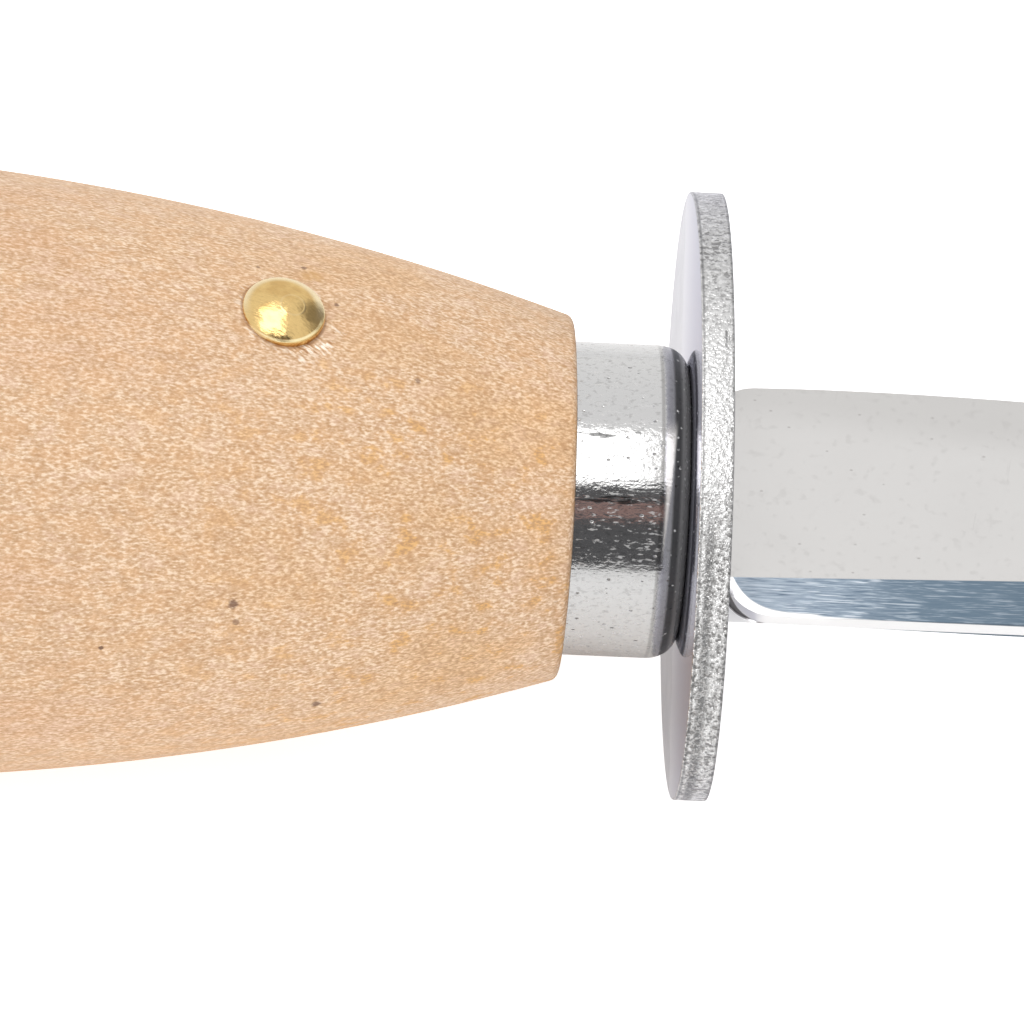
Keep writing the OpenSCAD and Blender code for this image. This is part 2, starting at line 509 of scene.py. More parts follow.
def beech(colours, sizes, studio):
    """Bare turned beech: cream and tan flecks along the grain, over slow golden and pink casts."""
    wood = Finish("Turned beech")
    place = wood.place()
    x, y, _ = wood.axes(place)
    fleck = wood.noise(place, (2900, 6900, 6900), rough=0.55)
    dash = wood.noise(place, (1500, 6000, 6000), rough=0.6, shift=(0.3, 0.1, 0.2))
    streak = wood.noise(place, (260, 900, 900), detail=3.0, rough=0.6, shift=(0.7, 0.2, 0.5))
    cloud = wood.noise(place, (55, 130, 130), shift=(0.1, 0.6, 0.3))
    blotch = wood.noise(place, (580, 880, 880), detail=3.0, rough=0.6, shift=(0.5, 0.3, 0.9))
    tone = (fleck - 0.5) * 2.25 + (dash - 0.5) * 0.7 + (streak - 0.5) * 0.35 + 0.51

    # The flecks, darkened toward the butt by painted shade, with slow changes of hue
    base = wood.mix(tone.above(0.0, 1.0), colours.wood_dark, colours.wood_light)
    base = wood.mix(x.above(0.002, -0.030) * 0.16, base, (0.55, 0.37, 0.24))
    base = wood.mix(blotch.above(0.44, 0.60) * 0.22, base, (0.80, 0.47, 0.25))
    base = wood.mix(blotch.above(0.46, 0.32) * 0.22, base, (0.86, 0.62, 0.50))
    base = wood.mix(tone.above(0.60, 0.95) * 0.42, base, (0.95, 0.80, 0.64))

    # Golden patches toward the ferrule, pink ones toward the butt, and a front end in painted light
    golden = wood.mix(tone.above(0.1, 0.9), colours.wood_dark, colours.wood_gold)
    pinkish = wood.mix(tone.above(0.0, 0.8), colours.wood_dark, colours.wood_pink)
    gold = blotch.above(0.56, 0.66) * x.above(-0.024, 0.004) * y.above(0.003, -0.007) * 0.9
    gold = gold.most(cloud.above(0.50, 0.66) * x.above(-0.022, 0.006) * 0.35)
    # The pink toward the butt is the wood's own cast, made stronger as painted shade
    pink = cloud.above(0.56, 0.36) * x.above(-0.004, -0.034) * 0.45
    base = wood.mix(gold, base, golden)
    base = wood.mix(pink, base, pinkish)
    # Painted light: the front end is brightened on the edge's side
    front = x.above(0.004, 0.010) * y.above(0.006, -0.002)
    base = wood.mix(front, base, (1.08, 1.08, 1.09), "MULTIPLY")
    pores = wood.dots(place, (520, 1500, 1500), 0.16, 0.07)
    base = wood.mix(pores * 0.3, base, (0.34, 0.17, 0.07))

    # Dark specks: the pixel that shows each, its radius and its strength
    marks = None
    for pixel, size, strength in (
        (brown_speck, 0.00042, 0.85),
        (speck_below, 0.00030, 0.60),
        (grey_speck, 0.00042, 0.80),
        (left_dot, 0.00020, 0.90),
        (right_dot, 0.00024, 0.60),
        (upper_dot, 0.00018, 0.60),
        (bruise_dot, 0.00024, 0.70),
        (rivet_dot, 0.00022, 0.70),
    ):
        ragged = wood.distance(place, seen_on_handle(sizes, studio, pixel)) + (fleck - 0.5) * size
        spot = ragged.above(size, size * 0.4) * strength
        marks = marks.most(spot) if marks else spot
    base = wood.mix(marks, base, (0.17, 0.09, 0.06))
    bruise = wood.distance(place, seen_on_handle(sizes, studio, bruise_middle))
    bruise = bruise.above(0.0010, 0.0003) * blotch.above(0.35, 0.55)
    base = wood.mix(bruise * 0.6, base, (0.60, 0.34, 0.12))

    # Torn fibres with painted shade between them, and a thin painted shadow round the rivet's head
    seat = rivet_seat(sizes)[0]
    around = wood.distance(place, seat)
    fibres = wood.noise(place, (1300, 5200, 2600), detail=1.0, turn=(0, 0, 0.55))
    below = y.above(seat.y, seat.y - 0.001)
    torn = around.above(0.0043, 0.0032) * x.above(seat.x - 0.0002, seat.x + 0.001) * below
    torn = torn.most(around.above(0.0033, 0.0029) * 0.5) * blotch.above(0.38, 0.56)
    # Painted shade: dark streaks between the torn fibres
    base = wood.mix(torn * fibres.above(0.46, 0.36) * 0.85, base, (0.38, 0.18, 0.07))
    base = wood.mix(torn * fibres.above(0.54, 0.62) * 0.95, base, (1.0, 0.91, 0.78))
    base = wood.mix(around.above(0.00282, 0.00266) * 0.6, base, (0.26, 0.12, 0.05))
    height = fleck * 0.6 + dash * 0.4 - pores * 0.4 + torn * fibres * 1.5
    return wood.done(
        Base_Color=base,
        Roughness=(fleck - 0.5) * 0.25 + 0.62,
        Normal=wood.bump(height, 0.55, 0.00005),
        Specular_IOR_Level=0.3,
    )


def drawn_steel(colours, sizes):
    """Polished drawn steel of the ferrule, with fine pits and draw marks along it."""
    steel = Finish("Drawn steel")
    place = steel.place()
    x, y, z = steel.axes(place)
    draw = steel.noise(place, (420, 3000, 3000), rough=0.6)
    grit = steel.noise(place, (2600, 3900, 3900), rough=0.6)
    wave = steel.noise(place, (120, 420, 420), detail=1.0)
    pits = steel.dots(place, (1300, 2100, 2100), 0.20, 0.08)
    pits = pits * steel.noise(place, (700, 1000, 1000)).above(0.50, 0.58)

    # The shoulder, the crease where it starts, and the dusty groove and grey ring at its end
    bend = guard_back - sizes.shoulder_run
    last = guard_back - x
    shoulder = x.above(bend - 0.0001, bend + 0.0006)
    crease = x.above(bend - 0.00012, bend) * x.above(bend + 0.00022, bend + 0.00008)
    groove = last.above(0.00125, 0.0010) * (last.above(0.0003, 0.0007) * 0.6 + 0.4)
    inner = last.above(0.0008, 0.0005)
    dust = steel.dots(place, (2400, 2400, 2400), 0.30, 0.14, shift=(0.2, 0.4, 0.1))
    dust = dust * groove * grit.above(0.47, 0.55)

    # Angle round the axis, up from the edge's side, for the painted highlight along the shoulder
    # and the ragged ends of the painted dark streaks on both sides of the bright band
    tilt = (z - axis_z).math("ARCTAN2", axis_y - y)

    def between(low, low_full, high_full, high):
        rising = tilt.above(radians(low), radians(low_full))
        return rising * tilt.above(radians(high), radians(high_full))

    glint = between(18, 30, 74, 84)
    reach = tilt * 0.00075 - (x - bend)
    glint = glint * reach.above(0.0, 0.00022) * x.above(bend + 0.00015, bend + 0.0004)
    scuff = steel.noise(place, (1700, 4200, 4200), rough=0.6, shift=(0.1, 0.3, 0.8))
    scuff = scuff.above(0.57, 0.70) * (1 - shoulder)
    torn = between(71, 74, 75.5, 78.5) + between(47, 50, 52, 55)
    torn = torn * draw.above(0.52, 0.60) * (1 - shoulder)

    base = steel.mix(pits * 0.75, colours.ferrule, (0.20, 0.19, 0.18))
    base = steel.mix((0.5 - grit).above(0.02, 0.2) * 0.35, base, (0.30, 0.29, 0.28))
    # Painted shade: the ferrule's lower side is darker
    low_side_shade = z.above(axis_z - 0.0035, axis_z - 0.0065)
    base = steel.mix(low_side_shade * 0.25, base, (0.40, 0.39, 0.38))
    # Painted reflection: dark streaks along both edges of the bright band
    base = steel.mix(torn * 0.85, base, (0.07, 0.07, 0.07))
    # Painted shade darkens the shoulder and the crease where it starts
    base = steel.mix(shoulder * 0.36 + crease * 0.4, base, (0.14, 0.13, 0.12))
    # Painted shadow darkens the groove at the shoulder's end
    base = steel.mix(groove * 0.85, base, (0.05, 0.05, 0.05))
    # A painted reflection: the grey ring at the very end
    base = steel.mix(inner * 0.75, base, (0.27, 0.265, 0.26))
    # Painted highlight on the shoulder
    base = steel.mix(glint * 0.8, base, (0.93, 0.89, 0.82))
    base = steel.mix(dust, base, (0.75, 0.74, 0.72))
    dull = (scuff * 0.6).most(dust * 0.8).most(glint * 0.55 + inner * 0.6)
    height = draw * 0.25 + grit * 0.45 + wave * 0.5 - pits * 0.9
    return steel.done(
        Base_Color=base,
        Metallic=1 - dull,
        Roughness=(draw - 0.5) * 0.12 + pits * 0.25 + groove * 0.3 + 0.13,
        Normal=steel.bump(height, 0.8, 0.00004),
    )


def guard_steel(colours, sizes):
    """Mirror-polished faces and a rough sheared rim."""
    steel = Finish("Guard steel")
    place = steel.place()
    x, y, z = steel.axes(place)
    u = y / (sizes.guard_w / 2)
    v = (z - axis_z) / (sizes.guard_h / 2)
    rim = (u * u + v * v).above(0.985, 0.996)
    past = x - guard_back
    thick = guard_front - guard_back

    # The rim is drawn in ridges on the spine's side, crumpled elsewhere and torn on the edge's side
    ridge = steel.noise(place, (1700, 3000, 3000), rough=0.6, bend=0.5)
    crumple = steel.noise(place, (3100, 3300, 3300), rough=0.6, shift=(0.3, 0.2, 0.1))
    grit = steel.noise(place, (6500, 6500, 6500), detail=1.0)
    sheared = y.above(-0.004, 0.008)
    torn = y.above(-0.009, -0.015)
    rough = sheared * ridge + (1 - sheared) * crumple
    rough = rough + (crumple - 0.5) * 0.5 + (grit - 0.5) * 0.3
    # Painted shade in the rim's hollows, where the bump is low, and painted highlights on its
    # crests
    dark = rough.above(0.48, 0.34) * (sheared * 0.58 + torn * 0.55 + 0.15)
    bright = (torn * 0.5 + 0.5) * crumple.above(0.51, 0.60)

    # Dark lines along both edges, a nick on top and a seam in the torn part
    lip = past.above(0.00004, 0.00012) * past.above(0.00028, 0.00016)
    far = past.above(thick - 0.00022, thick - 0.0001)
    nick = steel.distance(place, (guard_back + 0.0015, axis_y, guard_box[1].z))
    nick = nick.above(0.0012, 0.0004)
    nick = nick * past.above(0.0014, 0.0015) * past.above(0.00164, 0.00154)
    seam = past.above(0.0003, 0.0006) * past.above(0.0012, 0.0008)
    seam = seam * torn * crumple.above(0.44, 0.56)
    haze = steel.noise(place, (400, 400, 400))

    sheet = steel.mix(sheared * 0.62 + torn * 0.25, colours.rim, (0.42, 0.415, 0.405))
    # The painted shade, then the painted highlights
    sheet = steel.mix(dark, sheet, (0.17, 0.165, 0.16))
    sheet = steel.mix(bright * 0.9, sheet, (0.97, 0.965, 0.955))
    lines = lip * 0.5 + far * 0.5 + nick * 0.6 + seam * 0.8
    sheet = steel.mix(lines, sheet, (0.09, 0.09, 0.09))
    return steel.done(
        Base_Color=steel.mix(rim, colours.guard, sheet),
        Metallic=1.0,
        Roughness=rim * (0.24 + (haze - 0.5) * 0.1) + (1 - rim) * ((haze - 0.5) * 0.05 + 0.07),
        Normal=steel.bump(rough * rim * (torn * 0.8 + 1), 1.0, 0.00013),
        Specular_Tint=(0.88, 0.88, 0.95, 1.0),
    )


def blade_steel(colours, sizes):
    """Satin flats with faint scratches, and bevels ground lengthwise."""
    steel = Finish("Blade steel")
    place = steel.place()
    x, y, z = steel.axes(place)
    half, half_t, half_edge = sizes.blade_w / 2, sizes.blade_t / 2, sizes.edge_heel / 2
    past = x - guard_front
    across = y - blade_y
    height = z - axis_z
    off_middle = height.math("ABSOLUTE")
    slope = (sizes.bevel_front - sizes.bevel_heel) / edge_straight

    # How far a place lies below the line where the bevel starts, and the height of its plane
    down = past * slope + (sizes.bevel_heel - half) - across
    bevel = down.above(-0.00003, 0.00003)
    wide = past * slope + sizes.bevel_heel
    plane = (wide - across - half) / wide * (half_t - half_edge)

    # At the guard the bevel ends on a curl, below which the wall of the edge shows in a painted
    # highlight
    heel = past.above(0.0044, 0.0038) * (half_t - plane - height).above(0.00004, 0.0001)
    curl = 0.00208 * (1 - ((0.00103 - past) / 0.00125).math("EXPONENT"))
    heel = heel.most(past.above(0.0068, 0.0056) * (down - curl).above(-0.00005, 0.00008))
    heel = heel * bevel
    face = bevel * off_middle.above(half_edge, half_edge + 0.0001) * (1 - heel)
    wall = (1 - off_middle.above(0.00142, 0.00149)) * (1 - face)
    edge = (wall * bevel).most(heel)

    # The flat: satin, a little darker along the spine, with small pits and faint scratches
    satin = steel.noise(place, (160, 160, 160), detail=3.0)
    grain = steel.noise(place, (1500, 1500, 1500))
    brush = steel.noise(place, (620, 9500, 9500), detail=3.0, rough=0.6)
    lines = steel.noise(place, (480, 8500, 8500), detail=1.0, shift=(0.2, 0.7, 0.1))
    pits = steel.dots(place, (620, 900, 900), 0.09, 0.04)
    scratch = steel.noise(place, (5200, 300, 300), detail=1.0, turn=(0, 0, 0.16))
    scratch = scratch.above(0.70, 0.78) * satin.above(0.5, 0.6) * 0.15
    # Painted shade: the flat is a little darker along the spine
    spine = (across + past * 0.12).above(0.0052, 0.0086)
    flat = steel.mix(spine * 0.5, colours.blade, (0.60, 0.585, 0.565))
    uneven = (satin - 0.5).math("ABSOLUTE")
    flat = steel.mix(pits * 0.45 + uneven * 0.2, flat, (0.42, 0.40, 0.38))
    flat = steel.mix(scratch + grain.above(0.45, 0.25) * 0.2, flat, (0.5, 0.48, 0.46))

    # The bevel: brushed lengthwise, darker and calmer toward the point
    # Painted reflection: the bevel's colour darkens toward the point
    ground = steel.mix(past.above(-0.001, 0.0145), colours.bevel, colours.bevel_front)
    calm = past.above(0.006, 0.017) * 0.45
    ground = steel.mix(brush.above(0.50, 0.28) * (0.7 - calm), ground, (0.07, 0.11, 0.16))
    ground = steel.mix(brush.above(0.50, 0.68) * (0.42 - calm * 0.6), ground, (0.62, 0.68, 0.74))
    ground = steel.mix(lines.above(0.60, 0.74) * (0.5 - calm * 0.7), ground, (0.80, 0.84, 0.88))

    # The rounded heel: painted shade under the curl, and a painted highlight on the ledge around it
    sunk = height - 0.00111 * ((0.00095 - past) / 0.0006).math("EXPONENT") + 0.00035
    heel_shade = bevel * past.above(0.0024, 0.0019) * sunk.above(0.00005, -0.00005)
    heel_shade = heel_shade * height.above(-0.00046, -0.00038)
    inward = heel_corner - past
    inner = half - heel_corner + (heel_corner**2 - inward * inward).math("SQRT")
    shelf = (0 - across - inner).above(0.00008, 0.00016) * height.above(0.0002, 0.0001)
    shelf = shelf.most(height.above(-0.00038, -0.00044) * (1 - heel_shade))
    # Painted highlight: the ledge is painted white and less metallic
    ledge = bevel * past.above(0.0034, 0.0027) * shelf

    # Near white for the painted highlight on the edge's wall, the curl and the heel's ledge
    white = (0.98, 0.975, 0.97)
    base = steel.mix(edge, steel.mix(face, flat, ground), white)
    base = steel.mix(heel_shade * 0.85, base, (0.10, 0.09, 0.09))
    relief = brush * face * 1.4 + lines * face + satin * 0.2 - pits * 0.4
    return steel.done(
        Base_Color=steel.mix(ledge, base, white),
        Metallic=1 - ledge * 0.9,
        Roughness=face * 0.16 + wall * 0.08 + (satin - 0.5) * 0.06 + 0.24,
        Normal=steel.bump(relief, 0.3, 0.00002),
    )


def brass(name, shade, rough, centre):
    """Polished brass with faint marks of hammer and hand, round a centre."""
    metal = Finish(name)
    place = metal.place()
    x, y, _ = metal.axes(place)
    dents = metal.noise(place, (900, 900, 900))
    fine = metal.noise(place, (2600, 9000, 4000), turn=(0, 0, 0.5))
    stain = metal.noise(place, (700, 700, 700), detail=3.0, shift=(0.4, 0, 0))

    # A painted highlight round the head's far side, another on the lip at the edge's side, and the
    # hammer's ring
    out = metal.distance(place, centre - hammer_shift)
    far_rim_highlight = out.above(0.0019, 0.0025) * out.above(0.0035, 0.0030)
    far_rim_highlight = far_rim_highlight * y.above(centre.y - 0.0012, centre.y + 0.0010)
    lip = out.above(0.00252, 0.00260) * out.above(0.00274, 0.00268)
    lip = lip * y.above(centre.y, centre.y - 0.0008) * dents.above(0.30, 0.55)
    ring = metal.distance(place, centre)
    ring = ring.above(0.00068, 0.00076) * ring.above(0.00088, 0.00080)

    # An even slope under the bump leans the highlight toward the edge's side
    slope = (y - centre.y) * 2900 + (x - centre.x) * 800
    base = metal.mix(stain.above(0.45, 0.70) * 0.5, shade, (0.56, 0.33, 0.11))
    base = metal.mix(fine.above(0.5, 0.3) * 0.25, base, (0.50, 0.34, 0.14))
    base = metal.mix(far_rim_highlight * 0.7, base, (1.0, 0.88, 0.62))
    base = metal.mix(lip * 0.85, base, (1.0, 0.86, 0.50))
    return metal.done(
        Base_Color=metal.mix(ring * 0.2, base, (0.90, 0.74, 0.46)),
        Metallic=1 - lip * 0.5,
        Roughness=fine * 0.1 + rough,
        Normal=metal.bump(dents + fine * 0.2 + ring * 0.12 + slope, 1.0, 0.00005),
    )


class OYSTER_OT_handle(Operator):
    """Turns the pear-shaped beech handle with its spigot"""

    bl_idname = "oyster.handle"
    bl_label = "Handle"

    def execute(self, context):
        sizes = context.scene.knife_sizes
        half, butt_x = sizes.handle_d / 2, handle_box[0].x
        flat = sizes.handle_front_d / 2 - sizes.front_round
        spigot_gap = 0.0001
        spigot = sizes.ferrule_d / 2 - sizes.ferrule_wall - spigot_gap
        behind = handle_front - butt_x - sizes.handle_belly
        front = bulge(sizes.handle_belly, half, flat, sizes.front_round, 5, 26)
        butt = bulge(behind, half, sizes.butt_flat_d / 2, sizes.butt_round, 9, 22)
        profile = [(handle_box[1].x, spigot), (handle_front, spigot)]
        profile += [(handle_front - back, radius) for back, radius in front]
        profile += [(butt_x + reach, radius) for reach, radius in reversed(butt[:-1])]
        piece = turn("beech_handle", profile, handle_sides, axis)
        finish = beech(context.scene.knife_colours, sizes, context.scene.knife_studio)
        hand_over(piece, "handle", finish)
        return {"FINISHED"}


class OYSTER_OT_ferrule(Operator):
    """Draws the steel ferrule as a cup with a rounded shoulder"""

    bl_idname = "oyster.ferrule"
    bl_label = "Ferrule"

    def execute(self, context):
        sizes = context.scene.knife_sizes
        radius = sizes.ferrule_d / 2
        run, drop = sizes.shoulder_run, sizes.shoulder_drop
        start = guard_back - run
        end_flat, behind_bend, mouth_round, steps = 0.0008, 0.0018, 0.0001, 12
        profile = [(guard_back, radius - drop - end_flat)]
        for i in range(steps + 1):
            t = radians(90 * i / steps)
            profile.append((start + run * cos(t), radius - drop + drop * sin(t)))
        profile += [
            (start - behind_bend, radius),
            (handle_front + mouth_round, radius),
            (handle_front, radius - mouth_round),
        ]
        piece = turn("drawn_ferrule", profile, handle_sides, axis)
        bpy.ops.object.mode_set(mode="EDIT")
        edit(piece, lambda co: co.x < handle_front + 1e-6)
        bpy.ops.mesh.delete(type="ONLY_FACE")
        bpy.ops.object.mode_set(mode="OBJECT")
        wall = piece.modifiers.new("sheet", "SOLIDIFY")
        wall.thickness = sizes.ferrule_wall
        wall.offset = -1
        bpy.ops.object.modifier_apply(modifier=wall.name)
        finish = drawn_steel(context.scene.knife_colours, sizes)
        hand_over(piece, "ferrule", finish)
        return {"FINISHED"}


class OYSTER_OT_guard(Operator):
    """Cuts the oval hand guard and eases its two edges"""

    bl_idname = "oyster.guard"
    bl_label = "Guard"

    def execute(self, context):
        sizes = context.scene.knife_sizes
        middle = (guard_back, box_middle(guard_box, "y"), axis_z)
        piece = start_disc("hand_guard", guard_sides, sizes.guard_w / 2, middle, "X")
        flatter = sizes.guard_h / sizes.guard_w
        bpy.ops.transform.resize(value=(1, 1, flatter), center_override=middle)
        pull((guard_front - guard_back, 0, 0))
        close(piece)
        ease(piece, sizes.guard_edge, 40)
        finish = guard_steel(context.scene.knife_colours, sizes)
        hand_over(piece, "guard", finish)
        return {"FINISHED"}


def blade_sections(sizes):
    """The blade and its tang as sections along X, each with its seven corners.

    They run from the spine over the top flat, down the bevel and the blunt edge, and back below.
    """
    half, t = sizes.blade_w / 2, sizes.blade_t / 2
    span = blade_box[1].x - guard_front
    heel = bulge(blade_crown, half, heel_half - heel_round, heel_round, 10, 8)
    spine = bulge(span - blade_crown, half - point_rise, 0, point_round, 8, 20)
    edge = bulge(span - edge_straight, half + point_rise, 0, point_round, 8, 24)

    # The blunt edge grows thicker between these places, and these keep its corners apart
    thicker_from, thicker_over = 0.006, 0.012
    least_bevel, least_flat, least_wall, step, heel_step = 0.00006, 0.0002, 0.0001, 0.00004, 0.0004

    def spine_y(x):
        return rise(heel, x) if x < blade_crown else point_rise + rise(spine, span - x)

    def edge_y(x):
        return half if x < edge_straight else -point_rise + rise(edge, span - x)

    def section(x):
        full = lip = edge_y(x)
        if x < heel_corner:
            full -= heel_corner - sqrt(max(0, heel_corner**2 - (heel_corner - x) ** 2))
        if x < lip_reach:
            lip -= lip_corner - sqrt(max(0, lip_corner**2 - max(0, lip_corner - x) ** 2))
        along = min(x, edge_straight) / edge_straight
        thicker = max(0, min(1, (x - thicker_from) / thicker_over))
        wide = sizes.bevel_heel + (sizes.bevel_front - sizes.bevel_heel) * along
        land = sizes.edge_heel + (sizes.edge_front - sizes.edge_heel) * thicker
        slope = (t - land / 2) / wide
        line = min(edge_y(x) - wide, full - least_bevel)
        line = max(line, -spine_y(x) + least_flat)
        top = t - slope * max(0, full - line)
        low = -t + slope * max(0, lip - line)
        ledge = low + step + max(0, lip_reach - x) / lip_reach * heel_step
        return [
            (spine_y(x), t),
            (-line, t),
            (-full, top),
            (-full, min(ledge, top - least_wall)),
            (-lip, low),
            (-line, -t),
            (spine_y(x), -t),
        ]

    def tang(width):
        w, d = width / 2, (sizes.blade_t - 0.0002) / 2
        lower = [(-w * 0.9, d), (-w, d * 0.9), (-w, 0), (-w, -d * 0.9), (-w * 0.9, -d)]
        return [(w, d), *lower, (w, -d)]

    places = [x for x, _ in heel] + [heel_corner * (1 - cos(radians(i * 7.5))) for i in range(13)]
    places += [0.0105, 0.013, 0.016, 0.0195, 0.0225, 0.0255, edge_straight]
    places += [span - x for x, _ in spine[1:-1]] + [span - x for x, _ in edge[1:-1]]
    places = sorted(set(round(x, 5) for x in places if x < span - 0.00002))
    kept = [places[0]]
    for x in places[1:]:
        if x - kept[-1] > 0.00006:
            kept.append(x)
    stations = [
        (blade_box[0].x, tang(0.002)),
        (blade_box[0].x + 0.002, tang(0.006)),
        (handle_front, tang(0.010)),
        (guard_front - 0.00002, tang(0.010)),
    ]
    stations += [(guard_front + x, section(x)) for x in kept]
    tip = [(point_rise + (y - point_rise) * 0.35, z) for y, z in section(kept[-1])]
    stations.append((guard_front + span, tip))
    return stations


class OYSTER_OT_blade(Operator):
    """Lofts the blade and its tang section by section"""

    bl_idname = "oyster.blade"
    bl_label = "Blade"

    def execute(self, context):
        sizes = context.scene.knife_sizes
        stations = blade_sections(sizes)
        middle = Vector((0, blade_y, axis_z))
        x, section = stations[0]
        start = middle + Vector((x, 0, 0))
        piece = start_disc("shucking_blade", len(section), 0.004, start, "X")
        bpy.ops.mesh.select_mode(type="VERT")

        def place(x, yz):
            return middle + Vector((x, yz[0], yz[1]))

        def seat(ring, wanted):
            """Moves each vertex of the newest section to its place."""
            for vertex, goal in zip(ring, wanted):
                bpy.ops.mesh.select_all(action="DESELECT")
                vertex.select = True
                bpy.ops.transform.translate(value=goal - vertex.co)

        shape = bmesh.from_edit_mesh(piece.data)
        ring = sorted(shape.verts, key=lambda v: v.index)
        seat(ring, [place(x, yz) for yz in section])
        for next_x, next_section in stations[1:]:
            old = [place(x, yz) for yz in section]
            edit(piece, lambda co: abs(co.x - x) < 1e-7)
            pull((next_x - x, 0, 0))
            shape = bmesh.from_edit_mesh(piece.data)
            fresh = [v for v in shape.verts if v.select]
            ring = [
                min(fresh, key=lambda v: (v.co.y - o.y) ** 2 + (v.co.z - o.z) ** 2) for o in old
            ]
            if len(set(v.index for v in ring)) != len(section):
                raise RuntimeError("two corners of the blade's section fell together")
            seat(ring, [place(next_x, yz) for yz in next_section])
            x, section = next_x, next_section
        bpy.ops.mesh.select_mode(type="FACE")
        close(piece)
        ease(piece, sizes.blade_edge, 12, 2)
        finish = blade_steel(context.scene.knife_colours, sizes)
        hand_over(piece, "blade", finish, 30)
        level = piece.modifiers.new("level", "WEIGHTED_NORMAL")
        level.keep_sharp = True
        level.weight = 100
        bpy.ops.object.modifier_apply(modifier=level.name)
        return {"FINISHED"}


class OYSTER_OT_rivet(Operator):
    """Turns the brass rivet with its two domed heads, and the burr under the lower one"""

    bl_idname = "oyster.rivet"
    bl_label = "Rivet and burr"

    def execute(self, context):
        sizes = context.scene.knife_sizes
        colours = context.scene.knife_colours
        seat, slope = rivet_seat(sizes)
        lean = slope * 0.65
        under = Vector((seat.x, seat.y, 2 * axis_z - seat.z))
        rise_up = sizes.rivet_rim + sizes.rivet_dome
        top, bottom = seat.z + rise_up, under.z - sizes.burr_t - rise_up
        head = self.head(sizes)
        profile = [(bottom + d, r) for d, r in head] + [(top - d, r) for d, r in reversed(head)]
        piece = turn("brass_rivet", profile, rivet_sides, seat, "Z")
        self.lean(piece, seat, lean, lambda co: co.z > seat.z - 0.0001)
        self.lean(piece, under, -lean, lambda co: co.z < under.z + 0.0001)
        centre = seat + hammer_shift + Vector((0, 0, rise_up))
        metal = brass("Rivet brass", colours.brass, 0.12, centre)
        hand_over(piece, "rivet", metal, 40)

        low, outer, rounding = under.z - sizes.burr_t, sizes.burr_d / 2, 0.0001
        washer = [(low, outer - rounding), (low + rounding, outer), (under.z, outer)]
        burr = turn("brass_burr", washer, rivet_sides, under, "Z")
        self.lean(burr, under, -lean, lambda co: True)
        metal = brass("Burr brass", colours.burr, 0.22, centre)
        hand_over(burr, "rivet_burr", metal, 40)
        return {"FINISHED"}

    def head(self, sizes):
        """Half a head's outline, as distances below its top and radii, down to the shank."""
        radius, dome = sizes.rivet_d / 2, sizes.rivet_dome
        shank, soft, dome_steps, soft_steps = 0.0015, 0.00028, 14, 6
        ball = (radius * radius + dome * dome) / (2 * dome)
        drop = sqrt((ball - soft) ** 2 - (radius - soft) ** 2)
        meet = asin((radius - soft) / (ball - soft))
        points = []
        for i in range(1, dome_steps + 1):
            a = meet * i / dome_steps
            points.append((ball * (1 - cos(a)), ball * sin(a)))
        for i in range(1, soft_steps + 1):
            a = meet + (pi / 2 - meet) * i / soft_steps
            points.append((ball - drop - soft * cos(a), radius - soft * (1 - sin(a))))
        foot = dome + sizes.rivet_rim
        return points + [(foot, radius), (foot, shank)]

    def lean(self, piece, point, lean, test):
        """Leans part of a piece about Y at a point, to lie on the handle's slope."""
        bpy.ops.object.mode_set(mode="EDIT")
        edit(piece, test)
        bpy.ops.transform.rotate(value=-lean, orient_axis="Y", center_override=point)
        bpy.ops.object.mode_set(mode="OBJECT")


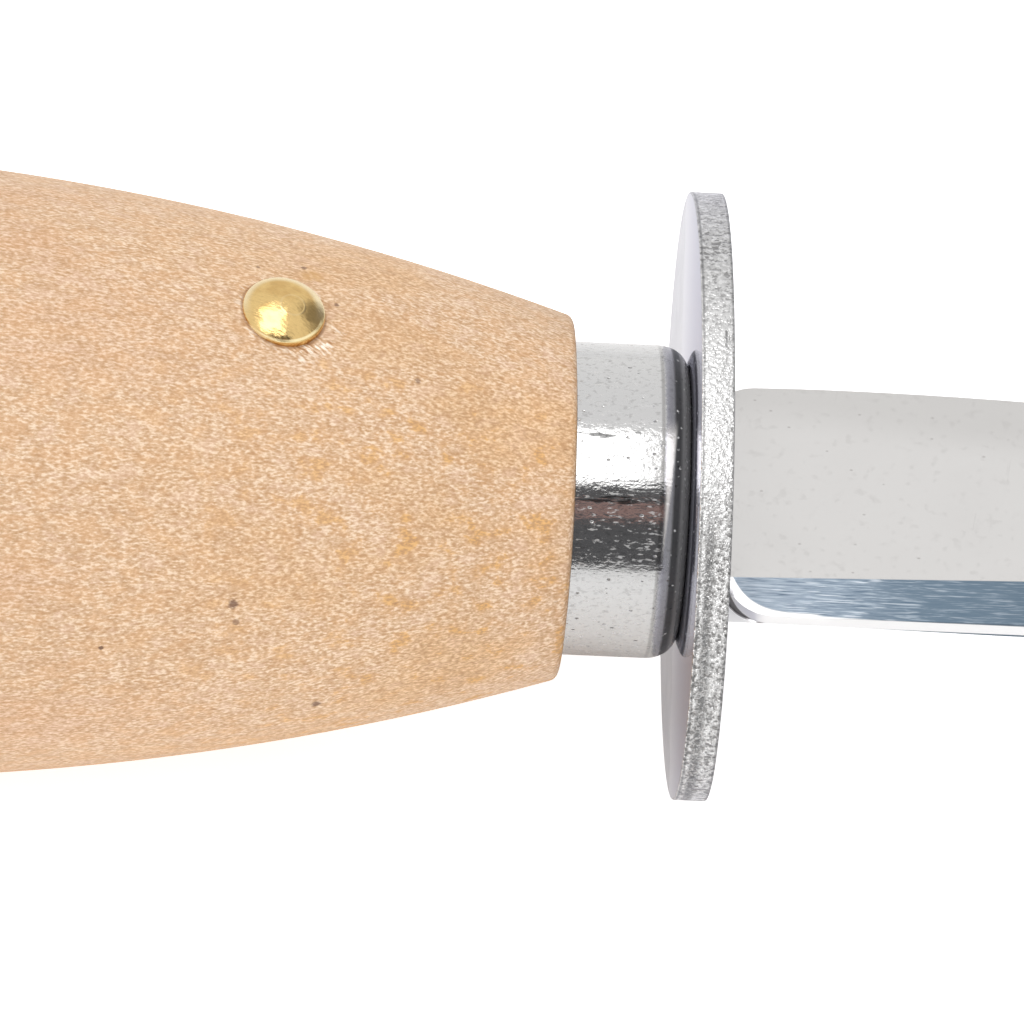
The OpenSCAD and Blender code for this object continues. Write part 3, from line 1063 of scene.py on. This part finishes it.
class OYSTER_OT_stage(Operator):
    """Sets the pale floor, the softbox, the white tent around the knife and the camera"""

    bl_idname = "oyster.stage"
    bl_label = "Studio"

    def execute(self, context):
        studio = context.scene.knife_studio
        self.floor(studio)
        self.softbox(studio)
        self.tent(context, studio)
        self.camera(context, studio)
        context.scene.view_settings.view_transform = "Standard"
        return {"FINISHED"}

    def floor(self, studio):
        """A paper floor that glows white to the camera, grey to the knife and not to its metal."""
        bpy.ops.object.select_all(action="DESELECT")
        bpy.ops.mesh.primitive_grid_add(x_subdivisions=8, y_subdivisions=8, size=8)
        floor = bpy.context.object
        floor.name = floor.data.name = "floor"
        paper = Finish("White paper")
        speckle = paper.noise(paper.place(), (900, 900, 900))
        base = paper.mix(speckle * 0.04, tuple(studio.floor), (0.88, 0.88, 0.88))
        mirrored = paper.node("ShaderNodeLightPath", output="Is Glossy Ray")
        seen = paper.node("ShaderNodeLightPath", output="Is Camera Ray")
        bounce = paper.mix(mirrored, (0.5, 0.5, 0.5), (0, 0, 0))
        finish = paper.done(
            Base_Color=base,
            Roughness=0.9,
            Specular_IOR_Level=0.1,
            Emission_Color=paper.mix(seen, bounce, (1, 1, 1)),
            Emission_Strength=0.62,
        )
        floor.data.materials.append(finish)

    def softbox(self, studio):
        bpy.ops.object.light_add(type="AREA", location=(-0.055, -0.052, 0.37))
        light = bpy.context.object
        light.name = light.data.name = "softbox"
        light.data.shape = "RECTANGLE"
        light.data.size = 0.2
        light.data.size_y = 0.252
        light.data.energy = studio.softbox
        light.visible_camera = False

    def tent(self, context, studio):
        """White all round. Metal also mirrors a dark opening in front and a dark side."""
        world = bpy.data.worlds.new("White tent")
        context.scene.world = world
        tent = Finish("White tent", world)
        way = tent.node("ShaderNodeTexCoord", output="Generated")
        x, y, z = tent.axes(way)
        tilt = z.math("ARCTAN2", y * -1.0)
        front = tilt.above(radians(-3), radians(0)) * tilt.above(radians(64), radians(62))
        front = front * x.above(-0.24, -0.12) * x.above(0.36, 0.24)
        strip = tilt.above(radians(37), radians(39)) * tilt.above(radians(49), radians(47))
        facing = [way, (0.80, 0.25, 0.545)]
        side = tent.node("ShaderNodeVectorMath", {"operation": "DOT_PRODUCT"}, facing, "Value")
        dark = tent.mix(strip, tuple(studio.shade), (0.34, 0.22, 0.20))
        sky = tent.mix(z.above(-0.2, 1.0), (1.0, 1.0, 1.0), (0.93, 0.93, 0.94))
        mirrored = tent.node("ShaderNodeLightPath", output="Is Glossy Ray")
        sky = tent.mix(side.above(0.86, 0.985) * mirrored * 0.85, sky, (0.16, 0.15, 0.14))
        sky = tent.mix(front * mirrored, sky, dark)
        light = {"Color": sky, "Strength": studio.surround}
        shine = tent.node("ShaderNodeBackground", None, light)
        tent.node("ShaderNodeOutputWorld", None, {"Surface": shine})

    def camera(self, context, studio):
        bpy.ops.object.camera_add()
        camera = bpy.context.object
        camera.name = camera.data.name = "camera"
        camera.rotation_mode = "QUATERNION"
        camera.location, camera.rotation_quaternion = camera_view(studio)
        camera.data.lens = studio.lens
        camera.data.sensor_width = sensor_width
        camera.data.clip_start = 0.01
        camera.data.clip_end = 20
        camera.data.dof.use_dof = False
        context.scene.camera = camera


steps = (
    OYSTER_OT_handle,
    OYSTER_OT_ferrule,
    OYSTER_OT_guard,
    OYSTER_OT_blade,
    OYSTER_OT_rivet,
    OYSTER_OT_stage,
)


class OYSTER_PT_sidebar(Panel):
    """Lists the knife's pieces, sizes and colours"""

    bl_idname = "OYSTER_PT_sidebar"
    bl_label = "Oyster Knife"
    bl_space_type = "VIEW_3D"
    bl_region_type = "UI"
    bl_category = "Oyster Knife"

    def draw(self, context):
        for step in steps:
            self.layout.operator(step.bl_idname)
        for title, group in (
            ("Sizes", context.scene.knife_sizes),
            ("Colours", context.scene.knife_colours),
            ("Studio", context.scene.knife_studio),
        ):
            box = self.layout.box()
            box.label(text=title)
            for name in group.__annotations__:
                box.prop(group, name)


groups = {"knife_sizes": KnifeSizes, "knife_colours": KnifeColours, "knife_studio": KnifeStudio}


def register():
    for kind in (*groups.values(), *steps, OYSTER_PT_sidebar):
        bpy.utils.register_class(kind)
    for name, kind in groups.items():
        setattr(bpy.types.Scene, name, PointerProperty(type=kind))


def unregister():
    for name in groups:
        delattr(bpy.types.Scene, name)
    for kind in reversed((*groups.values(), *steps, OYSTER_PT_sidebar)):
        bpy.utils.unregister_class(kind)


def main():
    register()
    for step in steps:
        family, name = step.bl_idname.split(".")
        if getattr(getattr(bpy.ops, family), name)() != {"FINISHED"}:
            raise RuntimeError(f"{step.bl_label} didn't finish")


if __name__ == "__main__":
    main()
